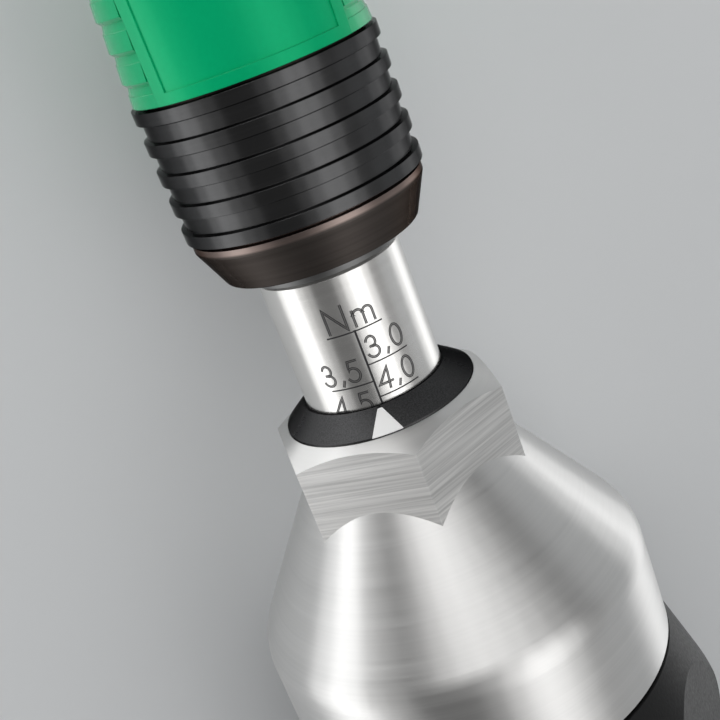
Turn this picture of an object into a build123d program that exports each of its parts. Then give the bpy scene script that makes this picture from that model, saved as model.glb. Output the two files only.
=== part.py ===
from build123d import *
import math
import os

# Torque screwdriver with an adjustable click clutch and a quick-release chuck for hexagon bits.
# Millimetres. The tool lies along X with its tip towards +X, and the scale faces up, towards +Z.
# While it is drawn, its axis is the X axis, and x = 0 is the front edge of the pointer ring.
# Pieces behind that edge, towards the handle, have negative x. PLACE moves the finished pieces
# so that the lower flat of the handle lies on z = 0, with the middle of the tool's length at x = 0.

# Clearances
RUN = 0.05                    # radial, between pieces that turn or slide on each other
PRESS = 0.02                  # radial, between pieces that are pressed or screwed together
FACE = 0.10                   # axial, between faces that rub
SPLIT = 0.20                  # axial, between the turning collar and the handle
EDGE = 0.30                   # usual broken edge
PAST = 1.0                    # how far a cutting form runs past what it cuts
CROWN = 0.02                  # how far the collar's turned cones swell at their middle

# Torque setting: the scale sleeve's travel from the present setting
TRAVEL_IN = 3.0
TRAVEL_OUT = 6.0

# Scale sleeve, a tube with an outer thread on its middle and two flats on its tail
ROD_R = 3.5                   # spindle inside the sleeve
BUSH_WALL = 1.15
BUSH_LENGTH = 8.0
SLEEVE_R = 6.25
SLEEVE_BORE_R = ROD_R + RUN + BUSH_WALL
SLEEVE_FRONT = 11.90          # its front face, ahead of the pointer edge
TAIL_WALL = 0.90
TAIL_FLATS = 2 * (SLEEVE_BORE_R + TAIL_WALL)
TAIL_STEP_GAP = 0.40          # from the round part to the guide plate, when it is screwed right in
TAIL_SPARE = 4.60             # tail behind the guide plate when it is screwed right out

# Pointer ring and the hexagon that holds it
HEX_FLATS = 19.0
HEX_CORNER_R = HEX_FLATS / math.sqrt(3)
HEX_PHASE = 4.8               # degrees from the top to a corner
HEX_CHAMFER = 32.0            # degrees, of the turned face round the pointer ring
HEX_CORNER_END = 10.25        # where the corners run into the cone, behind the pointer edge
POINTER_MARGIN = 0.87         # from the ring's edge to the hexagon's flats
POINTER_R = HEX_FLATS / 2 - POINTER_MARGIN
POINTER_LIP = 0.22
POINTER_DEPTH = 1.83          # from its front edge to the hexagon
POINTER_RIM = 0.18            # short upright edge round its sloping face
POINTER_SEAT = 0.16           # how deep it sits in the hexagon
SPIGOT_WALL = 1.30
SPIGOT_R = SLEEVE_R + RUN + SPIGOT_WALL
SPIGOT_LENGTH = 2.30
MARK_HALF_WIDTH = 1.42        # triangle let into the sloping face
MARK_GAP = 0.05               # from the bore to the triangle's tip
MARK_DEPTH = 0.10
MARK_PHASE = -3.75            # degrees from the top

# Main spring and the steel housing round it
SPRING_WIRE_R = 1.75
SPRING_CLEAR = 1.00           # from the sleeve's tail to the wire
SPRING_R = SLEEVE_R + SPRING_CLEAR + SPRING_WIRE_R
SPRING_TURNS = 8
SPRING_SPARE = 2.5            # room left when the spring is pressed furthest
SPRING_SIDES = 6
SPRING_STEPS = 12             # straight lengths in one turn
SPRING_ROOM = 0.75
HOUSING_BORE_R = SPRING_R + SPRING_WIRE_R + SPRING_ROOM
HOUSING_WALL = 2.5
HOUSING_R = HOUSING_BORE_R + HOUSING_WALL
FLANGE_STEP = 2.5
FLANGE_R = HOUSING_R + FLANGE_STEP
FLANGE_THICK = 2.5
KEYWAY_DEPTH = 1.2
KEYWAY_R = HOUSING_BORE_R + KEYWAY_DEPTH
KEY_WIDTH = 4.0
KEYS = 4
LIP_STEP = 1.75
LIP_R = SLEEVE_R + LIP_STEP
LIP_THICK = 1.0
GUIDE_THICK = 3.0             # plate that keeps the scale sleeve from turning
THRUST_THICK = 0.8            # ring between the collar and the housing

# Setting collar behind the hexagon: a cone, a round shoulder and a cylinder
CONE_ANGLE = 34.3             # degrees from the axis
SHOULDER_R = 4.4              # radius of the round shoulder
COLLAR_WALL = 4.20
COLLAR_R = HOUSING_R + RUN + COLLAR_WALL
THREAD_LENGTH = 13.0          # threaded bore behind the pointer ring's spigot
RELIEF_LENGTH = 2.2
RELIEF_STEP = 1.6
RELIEF_R = LIP_R + RELIEF_STEP
SKIRT_LENGTH = 12.0           # from the thrust ring's face to the rear rim
WIRE = 1.2                    # wire ring that keeps the collar on the housing
WIRE_BACK = 5.0               # its place ahead of the collar's rear rim

# Clutch
BALL_R = 2.0
BALL_WALL = 1.5               # from a ball to the housing's bore
BALL_CIRCLE_R = HOUSING_BORE_R - BALL_WALL - BALL_R
BALLS = 3
DETENTS = 12
DETENT_DEPTH = 0.9            # how far a ball sinks below the cam disc's face
DETENT_ANGLE = 45.0           # degrees, of the countersink from its own axis
BALL_SINK = 0.2               # ball centres below the pressure plate's face
PLATE_THICK = 5.0
PLATE_BORE_GAP = 0.4
PILOT_GAP = 0.25              # from the plate's boss to the spring
PILOT_R = SPRING_R - SPRING_WIRE_R - PILOT_GAP
PILOT_LENGTH = 2.5
CAM_THICK = 5.0
CAM_GAP = 0.6
CAM_R = HOUSING_BORE_R - CAM_GAP

# Spindle behind the cam disc
STUD_STEP = 0.5
STUD_R = ROD_R - STUD_STEP
STUD_FLAT_DEPTH = 0.5
STUD_FLATS = 2 * (STUD_R - STUD_FLAT_DEPTH)
STUD_END = 1.4                # thread that stands past the nut
WASHER_R = 6.0
WASHER_THICK = 1.0
NUT_FLATS = 10.0
NUT_THICK = 4.0

# Spindle ahead of the scale sleeve
WASHER_STEP = 0.30
THRUST_WASHER_R = SLEEVE_R + WASHER_STEP
THRUST_WASHER_THICK = 1.2
SHANK_R = THRUST_WASHER_R - RUN
SHANK_LENGTH = 9.2
NOSE_LENGTH = 21.8

# Bit socket, for 6.35 mm hexagon bits, and its lock ball
SOCKET_FLATS = 6.40
SOCKET_CORNER_R = SOCKET_FLATS / math.sqrt(3)
SOCKET_DEPTH = 15.0
SOCKET_MOUTH = 0.5            # bevel at the mouth
MAGNET_WALL = 0.6
MAGNET_R = SOCKET_FLATS / 2 - MAGNET_WALL
MAGNET_LENGTH = 3.0
RELEASE_TRAVEL = 3.0
LOCK_LIFT = 0.8
LOCK_BALL_R = 1.25
LOCK_REACH = 0.795            # how far the ball reaches into a corner of the socket
LOCK_BALL_SEAT_R = SOCKET_CORNER_R + LOCK_BALL_R - LOCK_REACH
LOCK_LIP_R = 0.93
LOCK_ANGLE = -90.0            # degrees from the top, at a corner of the socket
RAMP_ANGLE = math.atan(LOCK_LIFT / RELEASE_TRAVEL)
RAMP_SPARE = 0.15
RAMP_LENGTH = RELEASE_TRAVEL + LOCK_BALL_R + RAMP_SPARE
RAMP_R = LOCK_BALL_SEAT_R + (LOCK_BALL_R + PRESS) / math.cos(RAMP_ANGLE)
RAMP_TOP_R = RAMP_R + RAMP_LENGTH * math.tan(RAMP_ANGLE)
LAND_LENGTH = 1.8
LAND_GAP = 0.11
NOSE_R = RAMP_R - LAND_GAP

# Release collar, its spring and its stop
RELEASE_WIRE_R = 0.35
RELEASE_SPRING_GAP = 0.40
RELEASE_SPRING_R = NOSE_R + RELEASE_SPRING_GAP + RELEASE_WIRE_R
RELEASE_TURNS = 3.5
RELEASE_STEPS = 12
RELEASE_SPARE = 0.15
POCKET_ROOM = 0.50
POCKET_R = RELEASE_SPRING_R + RELEASE_WIRE_R + POCKET_ROOM
RELEASE_WALL = 0.95
RELEASE_R = POCKET_R + RELEASE_WALL
RELEASE_FLANGE_STEP = 0.55
RELEASE_FLANGE_R = RELEASE_R + RELEASE_FLANGE_STEP
RELEASE_FLANGE = 1.5
FRONT_STEP = 1.7              # nose ahead of the release collar
SEAT_THICK = 0.5
SEAT_GAP = 0.15
SEAT_R = POCKET_R - SEAT_GAP
NOSE_CLIP_BACK = 1.05         # behind the nose's front face
NOSE_CLIP_THICK = 0.7
NOSE_GROOVE = 0.6
NOSE_CLIP_STEP = 1.05
NOSE_GROOVE_R = NOSE_R - NOSE_GROOVE
NOSE_CLIP_R = NOSE_R + NOSE_CLIP_STEP
SLEEVE_CLIP_STEP = 0.40
SLEEVE_CLIP_R = RELEASE_R + SLEEVE_CLIP_STEP
SLEEVE_CLIP_THICK = 0.8
SLEEVE_CLIP_BACK = 2.1        # behind the release collar's front edge
CLIP_GROOVE = 0.45

# Chuck sleeve: the dark metal ring and the tube that carries the ribbed ring and the green ring
CHUCK_OVERHANG = 0.17         # thrust washer inside the dark ring
CHUCK_LIP_GAP = 0.20
CHUCK_LIP_BORE_R = THRUST_WASHER_R + CHUCK_LIP_GAP
CHUCK_LIP = 3.0
CHUCK_FACE = 1.86             # width of the dark ring's rear face
CHUCK_SMALL_R = CHUCK_LIP_BORE_R + CHUCK_FACE
BEVEL_LENGTH = 3.27
BEVEL_ROUND = 0.08
BAND_LENGTH = 0.70
CAVITY_GAP = 0.15
CAVITY_R = RELEASE_FLANGE_R + CAVITY_GAP
TUBE_WALL = 0.70
TUBE_R = CAVITY_R + TUBE_WALL
CHUCK_STEP = 0.76
CHUCK_BIG_R = TUBE_R + CHUCK_STEP
FRONT_TUBE_WALL = 0.60
FRONT_TUBE_R = SLEEVE_CLIP_R + RUN + FRONT_TUBE_WALL

# Ribbed ring
RIBS = 5
RIBBED_GAP = 0.35             # from the dark ring to the ribbed ring
RIB_LENGTH = 2.555            # one rib with its groove
RIB_LAND = 1.04
RIB_DEPTH = 0.43
RIB_LEAN = 0.13               # how far a rib's flank leans over its depth
RIB_HEIGHT = 1.07             # from the tube to the lands
RIB_R = TUBE_R + RIB_HEIGHT

# Green ring, with a plain panel above and below and grip bars on both sides
GREEN_WALL = 1.20
GREEN_R = FRONT_TUBE_R + GREEN_WALL
GREEN_GAP = 0.24              # from the ribbed ring to the green ring
GREEN_STEP = 0.95             # its front edge behind the release collar's
GREEN_ROUND = 0.8
PANEL_ANGLE = 42.35           # degrees from the top to the panel's side
PANEL_DEPTH = 0.12
PANEL_MARGIN = 0.92
BAR_ANGLE = 49.3              # degrees from the top to the bars' ends
BAR_SLIT = 1.1                # degrees, the slit at the bars' ends
BAR_START = 2.0               # from the green ring's rear edge
TOOTH_LENGTH = 2.46           # one bar with the groove ahead of it
BAR_LENGTH = 1.48
BAR_FALL = 0.13               # how far a bar slopes down towards the tip
BAR_STEP = 0.06               # the small step at its front edge
BAR_DEPTH = 0.32
BAR_RISE = 0.35               # length of the slope from a groove up to the next bar
BARS = 4

# Handle: places behind its front face, rises over the collar's radius, and roundings
FLAT_RISE = 0.95
HANDLE_FLATS = 2 * (COLLAR_R + FLAT_RISE)
CREST = (10.3, 3.15, 9.0)
WAIST = (24.8, -0.35, 25.0)
BELLY = (39.3, 2.85, 28.0)
TAIL_BACK = 2.0               # behind the joint with the end cap
TAIL_RISE = 0.75
TAIL_ROUND = 8.0
CAP_LENGTH = 9.0
CAP_DROP = 5.75               # from the collar's radius to the flat end
END_ROUND = 3.0
CAP_GAP = 0.25
CAP_SPIGOT = 5.0
CAP_CLEAR = 1.7               # from the cap's spigot to the screw
CAP_WALL = 2.0
PAD_WIDTH = 9.0
PAD_LENGTH = 24.0
PAD_BACK = 15.5               # from the pads' middle to the joint with the end cap
PAD_DEPTH = 1.2
PAD_GAP = 0.25
PADS = 6
PAD_PHASE = 30.0              # degrees from the top to the first rounded corner

# Screw and plug that hold the housing in the handle
PLUG_THICK = 4.0
PLUG_CLEAR = 1.5              # between the spindle at the end of its travel and the plug
WEB_THICK = 4.0
SCREW_R = 2.5
SCREW_GAP = 0.25
SCREW_HOLE_R = SCREW_R + SCREW_GAP
SCREW_HEAD_STEP = 1.75
SCREW_HEAD_R = SCREW_R + SCREW_HEAD_STEP
SCREW_HEAD = 5.0
SCREW_KEY = 4.0               # across flats
SCREW_WASHER_STEP = 0.75
SCREW_WASHER_R = SCREW_HEAD_R + SCREW_WASHER_STEP
SCREW_WASHER_THICK = 1.0
POCKET_WALK = 3.0             # room round the screw's washer
POCKET_END_R = SCREW_WASHER_R + POCKET_WALK
CAP_BORE_R = POCKET_END_R - CAP_WALL

# Places from the pointer edge to the rear
SPIGOT_END = -(POINTER_DEPTH + POINTER_SEAT + SPIGOT_LENGTH)
THREAD_END = SPIGOT_END - THREAD_LENGTH
COLLAR_WEB = THREAD_END - RELIEF_LENGTH
COLLAR_REAR = COLLAR_WEB - SKIRT_LENGTH
THRUST_RING = COLLAR_WEB - FACE
HOUSING_FRONT = THRUST_RING - THRUST_THICK - FACE
GUIDE_FRONT = HOUSING_FRONT - LIP_THICK
GUIDE_REAR = GUIDE_FRONT - GUIDE_THICK
SLEEVE_ROUND_END = GUIDE_FRONT + TRAVEL_IN + TAIL_STEP_GAP
TAIL_END = GUIDE_REAR - TRAVEL_OUT - TAIL_SPARE
SPRING_FRONT = GUIDE_REAR - FACE
SPRING_LENGTH = 2 * SPRING_WIRE_R * SPRING_TURNS + TRAVEL_OUT + DETENT_DEPTH + SPRING_SPARE
PLATE_FRONT = SPRING_FRONT - SPRING_LENGTH - FACE
PLATE_REAR = PLATE_FRONT - PLATE_THICK
BALL_X = PLATE_REAR + BALL_SINK
CAM_FRONT = BALL_X - (BALL_R - DETENT_DEPTH)
CAM_REAR = CAM_FRONT - CAM_THICK
WASHER_REAR = CAM_REAR - WASHER_THICK
NUT_REAR = WASHER_REAR - NUT_THICK
SPINDLE_REAR = NUT_REAR - STUD_END
PLUG_FRONT = SPINDLE_REAR - TRAVEL_IN - PLUG_CLEAR
PLUG_REAR = PLUG_FRONT - PLUG_THICK
WEB_REAR = PLUG_REAR - WEB_THICK
HEAD_FRONT = WEB_REAR - SCREW_WASHER_THICK
HEAD_REAR = HEAD_FRONT - SCREW_HEAD
HANDLE_FRONT = COLLAR_REAR - SPLIT
CAP_SPLIT = HEAD_REAR - CAP_CLEAR - CAP_SPIGOT
HANDLE_REAR = CAP_SPLIT - CAP_LENGTH

# Places from the pointer edge to the tip
WASHER_FRONT = SLEEVE_FRONT + RUN + THRUST_WASHER_THICK
SHANK_END = WASHER_FRONT + SHANK_LENGTH
NOSE_FRONT = SHANK_END + NOSE_LENGTH
SOCKET_END = NOSE_FRONT - SOCKET_DEPTH
NOSE_CLIP_REAR = NOSE_FRONT - NOSE_CLIP_BACK - NOSE_CLIP_THICK
SEAT_REAR = NOSE_CLIP_REAR - SEAT_THICK - RUN
RELEASE_SPRING_LENGTH = 2 * RELEASE_WIRE_R * RELEASE_TURNS + RELEASE_TRAVEL + RELEASE_SPARE
POCKET_FLOOR = SEAT_REAR - RELEASE_SPRING_LENGTH
LOCK_X = POCKET_FLOOR - LAND_LENGTH
RELEASE_REAR = SHANK_END + FACE
RELEASE_FRONT = NOSE_FRONT - FRONT_STEP
SLEEVE_CLIP_FRONT = RELEASE_FRONT - SLEEVE_CLIP_BACK + SLEEVE_CLIP_THICK
LAND_REAR = RELEASE_REAR + RELEASE_FLANGE + FACE
LAND_FRONT = SLEEVE_CLIP_FRONT - SLEEVE_CLIP_THICK - FACE
CHUCK_REAR = WASHER_FRONT - CHUCK_OVERHANG
BEVEL_END = CHUCK_REAR + BEVEL_LENGTH
BAND_END = BEVEL_END + BAND_LENGTH
RIBS_START = BAND_END + RIBBED_GAP
RIBS_END = RIBS_START + (RIBS - 1) * RIB_LENGTH + RIB_LAND
GREEN_REAR = RIBS_END + GREEN_GAP
GREEN_FRONT = RELEASE_FRONT - GREEN_STEP

MIDDLE = (NOSE_FRONT + HANDLE_REAR) / 2
PLACE = Location((-MIDDLE, 0, HANDLE_FLATS / 2))


# Helpers

def turned(*points):
    """A solid turned about the tool's axis from a closed outline of (x, radius) points."""
    return revolve(make_face(Polyline(*points, close=True)), Axis.X)


def crowned(rear, rear_r, front, front_r):
    """A line that swells a little at its middle, between two places on a turned outline."""
    length = math.hypot(front - rear, front_r - rear_r)
    middle = ((rear + front) / 2 + CROWN * abs(front_r - rear_r) / length,
              (rear_r + front_r) / 2 + CROWN * abs(front - rear) / length)
    return ThreePointArc((rear, rear_r), middle, (front, front_r))


def tube(rear, front, inner, outer):
    """A plain tube between two places on the axis."""
    return turned((rear, inner), (rear, outer), (front, outer), (front, inner))


def rod(rear, front, radius):
    """A plain round bar between two places on the axis."""
    return turned((rear, 0), (rear, radius), (front, radius), (front, 0))


def bar(rear, front, outline):
    """A straight bar along the axis with the outline of a sketch; the sketch's y points up."""
    return extrude(Plane.YZ.offset(rear) * outline, front - rear)


def hexagon(rear, front, flats, phase=0.0):
    """A hexagon bar with a corner at phase degrees from the top."""
    outline = RegularPolygon(flats / 2, 6, major_radius=False, rotation=90 + phase)
    return bar(rear, front, outline)


def flatted(rear, front, radius, flats):
    """A round bar with two flats, one on each side."""
    return bar(rear, front, Circle(radius) & Rectangle(flats, 2 * radius))


def around(piece, count, start=0.0):
    """Copies of a piece, spaced evenly about the axis."""
    return [Rot(X=start + 360 / count * n) * piece for n in range(count)]


def sector(rear, front, inner, outer, from_angle, to_angle):
    """A stretch of tube between two angles from the top."""
    corners = ((rear, inner), (rear, outer), (front, outer), (front, inner))
    upright = Rot(X=90 + from_angle) * make_face(Polyline(*corners, close=True))
    return revolve(upright, Axis.X, to_angle - from_angle)


def coil(rear, front, radius, wire_r, turns, steps, sides):
    """A coil spring of short straight lengths, between two places on the axis."""
    rise = (front - rear - 2 * wire_r) / (turns * steps)
    sections = []
    for step in range(round(turns * steps) + 1):
        angle = math.radians(360 / steps * step)
        middle = (rear + wire_r + rise * step, radius * math.cos(angle), radius * math.sin(angle))
        along = (rise * steps / math.tau, -radius * math.sin(angle), radius * math.cos(angle))
        out = (0, math.cos(angle), math.sin(angle))
        plane = Plane(origin=middle, x_dir=out, z_dir=along)
        sections.append(plane * RegularPolygon(wire_r, sides))
    return loft(sections, ruled=True)


def split_ring(rear, front, inner, outer, gap):
    """A retaining ring with a gap at the bottom."""
    slot = Pos((rear + front) / 2, 0, -outer) * Box(2 * (front - rear), gap, 2 * outer)
    return tube(rear, front, inner, outer) - slot


# Handle

def handle_form(inset=0.0):
    """The handle's outer form, or the same form a little smaller all over."""
    base = COLLAR_R - inset
    swells = [CREST, WAIST, BELLY, (HANDLE_FRONT - CAP_SPLIT + TAIL_BACK, TAIL_RISE, TAIL_ROUND)]
    corners = [(HANDLE_FRONT - back, base + rise) for back, rise, rounding in swells]
    roundings = [rounding for back, rise, rounding in swells]
    outline = FilletPolyline((HANDLE_FRONT, base), *corners, (HANDLE_REAR, base - CAP_DROP),
                             (HANDLE_REAR, 0), radius=roundings + [END_ROUND])
    closing = Polyline((HANDLE_REAR, 0), (HANDLE_FRONT, 0), (HANDLE_FRONT, base))
    body = revolve(make_face(outline + closing), Axis.X)
    flats = RegularPolygon(HANDLE_FLATS / 2 - inset, 6, major_radius=False)
    return body & bar(HANDLE_REAR - PAST, HANDLE_FRONT + PAST, flats)


def pad_prism(gap=0.0):
    """A slot-shaped prism that stands on the axis, over the length of a grip pad."""
    outline = SlotOverall(PAD_LENGTH + 2 * gap, PAD_WIDTH + 2 * gap)
    return extrude(Plane.XY * Pos(CAP_SPLIT + PAD_BACK, 0) * outline, HANDLE_FLATS)


def pad_places(prism):
    """The prism on each of the handle's six rounded corners."""
    return around(prism, PADS, PAD_PHASE)


def handle_shell():
    body = handle_form() - rod(HANDLE_REAR - PAST, CAP_SPLIT, HANDLE_FLATS)
    body -= rod(PLUG_REAR, HANDLE_FRONT, HOUSING_R + PRESS)
    body -= rod(HANDLE_FRONT - FLANGE_THICK - FACE, HANDLE_FRONT, FLANGE_R + PRESS)
    body -= rod(WEB_REAR - PAST, PLUG_REAR, SCREW_HOLE_R)
    body -= rod(CAP_SPLIT, WEB_REAR, POCKET_END_R)
    core = handle_form(PAD_DEPTH)
    for prism in pad_places(pad_prism(PAD_GAP)):
        body -= prism - core
    return body


def grip_pads():
    layer = handle_form() - handle_form(PAD_DEPTH - PRESS)
    return Compound([layer & prism for prism in pad_places(pad_prism())])


def end_cap():
    cap = handle_form() & rod(HANDLE_REAR - PAST, CAP_SPLIT - CAP_GAP, HANDLE_FLATS)
    cap += rod(CAP_SPLIT - CAP_GAP, CAP_SPLIT + CAP_SPIGOT, POCKET_END_R - PRESS)
    return cap - rod(CAP_SPLIT - CAP_GAP, CAP_SPLIT + CAP_SPIGOT, CAP_BORE_R)


# Clutch housing and what is fixed in it

def key_bars(rear, front, width, radius):
    """The key form on a plate, or the keyways in the housing."""
    rib = Pos((rear + front) / 2, 0, radius / 2) * Box(front - rear, width, radius)
    return around(rib, KEYS, 45)


def wire_places():
    """Rear and front of the wire ring between the collar and the housing."""
    rear = COLLAR_REAR + WIRE_BACK
    return rear, rear + WIRE


def clutch_housing():
    body = turned(
        (PLUG_REAR, HOUSING_BORE_R), (PLUG_REAR, HOUSING_R),
        (HANDLE_FRONT - FLANGE_THICK, HOUSING_R), (HANDLE_FRONT - FLANGE_THICK, FLANGE_R),
        (HANDLE_FRONT, FLANGE_R), (HANDLE_FRONT, HOUSING_R),
        (HOUSING_FRONT - EDGE, HOUSING_R), (HOUSING_FRONT, HOUSING_R - EDGE),
        (HOUSING_FRONT, LIP_R), (GUIDE_FRONT, LIP_R), (GUIDE_FRONT, HOUSING_BORE_R))
    for keyway in key_bars(PLUG_REAR, GUIDE_FRONT, KEY_WIDTH + 2 * RUN, KEYWAY_R):
        body -= keyway
    rear, front = wire_places()
    return body - tube(rear - RUN, front + RUN, HOUSING_R - WIRE / 2 - RUN, HOUSING_R + PAST)


def collar_ring():
    rear, front = wire_places()
    return split_ring(rear, front, HOUSING_R - WIRE / 2, HOUSING_R + WIRE / 2, 3 * WIRE)


def collar_washer():
    return tube(THRUST_RING - THRUST_THICK, THRUST_RING, RELIEF_R + RUN, HOUSING_R - EDGE)


def guide_plate():
    plate = rod(GUIDE_REAR, GUIDE_FRONT, HOUSING_BORE_R - PRESS)
    for key in key_bars(GUIDE_REAR, GUIDE_FRONT, KEY_WIDTH, KEYWAY_R - PRESS):
        plate += key
    hole = flatted(GUIDE_REAR, GUIDE_FRONT, SLEEVE_R + RUN, TAIL_FLATS + 2 * RUN)
    return plate - hole


def main_spring():
    return coil(SPRING_FRONT - SPRING_LENGTH, SPRING_FRONT, SPRING_R, SPRING_WIRE_R,
                SPRING_TURNS, SPRING_STEPS, SPRING_SIDES)


def rear_plug():
    return tube(PLUG_REAR, PLUG_FRONT, SCREW_R + PRESS, HOUSING_BORE_R - PRESS)


def handle_screw():
    screw = rod(HEAD_FRONT, PLUG_FRONT, SCREW_R) + rod(HEAD_REAR, HEAD_FRONT, SCREW_HEAD_R)
    return screw - hexagon(HEAD_REAR, HEAD_REAR + SCREW_HEAD / 2, SCREW_KEY)


def screw_washer():
    return tube(HEAD_FRONT, WEB_REAR, SCREW_HOLE_R, SCREW_WASHER_R)


# Setting collar and its pointer

def chamfer_cone():
    """The turned front of the hexagon: everything behind a blunt cone round the pointer ring."""
    start = -POINTER_DEPTH
    outer = HEX_CORNER_R + PAST
    corner = start - (outer - POINTER_R) * math.tan(math.radians(HEX_CHAMFER))
    outline = crowned(corner, outer, start, POINTER_R)
    outline += Polyline((start, POINTER_R), (start, 0), (COLLAR_REAR, 0), (COLLAR_REAR, outer),
                        (corner, outer))
    return revolve(make_face(outline), Axis.X)


def bulb():
    """Cone, round shoulder and cylinder behind the hexagon."""
    slope = math.tan(math.radians(CONE_ANGLE))
    lean = math.radians(CONE_ANGLE)
    front = -HEX_CORNER_END + (HEX_CORNER_R - SPIGOT_R) / slope
    touch_r = COLLAR_R - SHOULDER_R * (1 - math.cos(lean))
    touch = -HEX_CORNER_END - (touch_r - HEX_CORNER_R) / slope
    flat = touch - SHOULDER_R * math.sin(lean)
    half = lean / 2
    on_arc = (flat + SHOULDER_R * math.sin(half), COLLAR_R - SHOULDER_R * (1 - math.cos(half)))
    outline = Polyline((front, 0), (front, SPIGOT_R)) + crowned(touch, touch_r, front, SPIGOT_R)
    outline += ThreePointArc((touch, touch_r), on_arc, (flat, COLLAR_R))
    outline += Polyline((flat, COLLAR_R), (COLLAR_REAR + EDGE, COLLAR_R),
                        (COLLAR_REAR, COLLAR_R - EDGE), (COLLAR_REAR, 0), (front, 0))
    return revolve(make_face(outline), Axis.X)


def setting_collar():
    hex_bar = hexagon(-HEX_CORNER_END - PAST, -POINTER_DEPTH, HEX_FLATS, HEX_PHASE)
    body = (hex_bar & chamfer_cone()) + bulb()
    body -= rod(SPIGOT_END - FACE, 0, SPIGOT_R + PRESS)
    body -= rod(-POINTER_DEPTH - POINTER_SEAT, 0, POINTER_R + PRESS)
    body -= rod(THREAD_END, 0, SLEEVE_R + RUN)
    body -= turned((THREAD_END, 0), (THREAD_END, SLEEVE_R + RUN),
                   (COLLAR_WEB, RELIEF_R), (COLLAR_WEB, 0))
    body -= rod(COLLAR_REAR, COLLAR_WEB, HOUSING_R + RUN)
    rear, front = wire_places()
    return body - tube(rear - FACE, front + FACE, HOUSING_R - PAST, HOUSING_R + WIRE / 2 + FACE)


def pointer_face(sink=0.0):
    """The pointer ring's turned form, or the same form with its sloping face set back."""
    bore = SLEEVE_R + RUN
    seat = -POINTER_DEPTH - POINTER_SEAT
    return turned(
        (-sink, bore), (-sink, bore + POINTER_LIP), (POINTER_RIM - POINTER_DEPTH - sink, POINTER_R),
        (seat, POINTER_R), (seat, SPIGOT_R), (SPIGOT_END, SPIGOT_R), (SPIGOT_END, bore))


def pointer_ring():
    tip = SLEEVE_R + RUN + MARK_GAP
    corners = ((0, tip), (MARK_HALF_WIDTH, POINTER_R), (-MARK_HALF_WIDTH, POINTER_R))
    triangle = make_face(Polyline(*corners, close=True))
    mark = Rot(X=MARK_PHASE) * bar(-POINTER_DEPTH, 0, triangle)
    return pointer_face() - (mark - pointer_face(MARK_DEPTH))


# Scale sleeve and clutch

def scale_sleeve():
    body = turned((SLEEVE_ROUND_END, 0), (SLEEVE_ROUND_END, SLEEVE_R),
                  (SLEEVE_FRONT - EDGE, SLEEVE_R), (SLEEVE_FRONT, SLEEVE_R - EDGE), (SLEEVE_FRONT, 0))
    body += flatted(TAIL_END, SLEEVE_ROUND_END, SLEEVE_R, TAIL_FLATS)
    return body - rod(TAIL_END, SLEEVE_FRONT, SLEEVE_BORE_R)


def spindle_bushes():
    inner = ROD_R + RUN
    outer = SLEEVE_BORE_R - PRESS
    return Compound([tube(SLEEVE_FRONT - BUSH_LENGTH, SLEEVE_FRONT, inner, outer),
                     tube(TAIL_END, TAIL_END + BUSH_LENGTH, inner, outer)])


def pressure_plate():
    plate = rod(PLATE_REAR, PLATE_FRONT, HOUSING_BORE_R - RUN)
    for key in key_bars(PLATE_REAR, PLATE_FRONT, KEY_WIDTH, KEYWAY_R - RUN):
        plate += key
    plate += rod(PLATE_FRONT, PLATE_FRONT + PILOT_LENGTH, PILOT_R)
    plate -= rod(PLATE_REAR, PLATE_FRONT + PILOT_LENGTH, ROD_R + PLATE_BORE_GAP)
    pocket = rod(PLATE_REAR, BALL_X + BALL_R + RUN, BALL_R + RUN)
    for hole in around(Pos(0, 0, BALL_CIRCLE_R) * pocket, BALLS):
        plate -= hole
    return plate


def clutch_balls():
    return Compound(around(Pos(BALL_X, 0, BALL_CIRCLE_R) * Sphere(BALL_R), BALLS))


def cam_disc():
    disc = turned((CAM_REAR, 0), (CAM_REAR, CAM_R), (CAM_FRONT - EDGE, CAM_R),
                  (CAM_FRONT, CAM_R - EDGE), (CAM_FRONT, 0))
    disc -= flatted(CAM_REAR, CAM_FRONT, STUD_R + PRESS, STUD_FLATS + 2 * PRESS)
    lean = math.radians(DETENT_ANGLE)
    tip = BALL_X - (BALL_R + RUN) / math.sin(lean)
    countersink = turned((tip, 0), (BALL_X, (BALL_X - tip) * math.tan(lean)), (BALL_X, 0))
    for dimple in around(Pos(0, 0, BALL_CIRCLE_R) * countersink, DETENTS):
        disc -= dimple
    return disc


# Spindle and what turns with it

def socket():
    """The bit socket with its bevelled mouth and the magnet's seat."""
    mouth_r = SOCKET_CORNER_R + SOCKET_MOUTH / 2
    floor = NOSE_FRONT - 2 * SOCKET_MOUTH
    bevel = turned((floor, 0), (floor, mouth_r - 2 * SOCKET_MOUTH), (NOSE_FRONT, mouth_r), (NOSE_FRONT, 0))
    hole = hexagon(SOCKET_END, NOSE_FRONT, SOCKET_FLATS, LOCK_ANGLE % 60)
    return hole + bevel + rod(SOCKET_END - MAGNET_LENGTH, SOCKET_END, MAGNET_R + PRESS)


def lock_hole():
    """The radial hole of the lock ball, with the lip that keeps the ball out of the socket."""
    lip_level = LOCK_BALL_SEAT_R - math.sqrt(LOCK_BALL_R ** 2 - LOCK_LIP_R ** 2) - RUN
    wide = extrude(Pos(LOCK_X, 0, lip_level) * Circle(LOCK_BALL_R + RUN), NOSE_R)
    narrow = extrude(Pos(LOCK_X, 0, 0) * Circle(LOCK_LIP_R), NOSE_R)
    return Rot(X=LOCK_ANGLE) * (wide + narrow)


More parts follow.
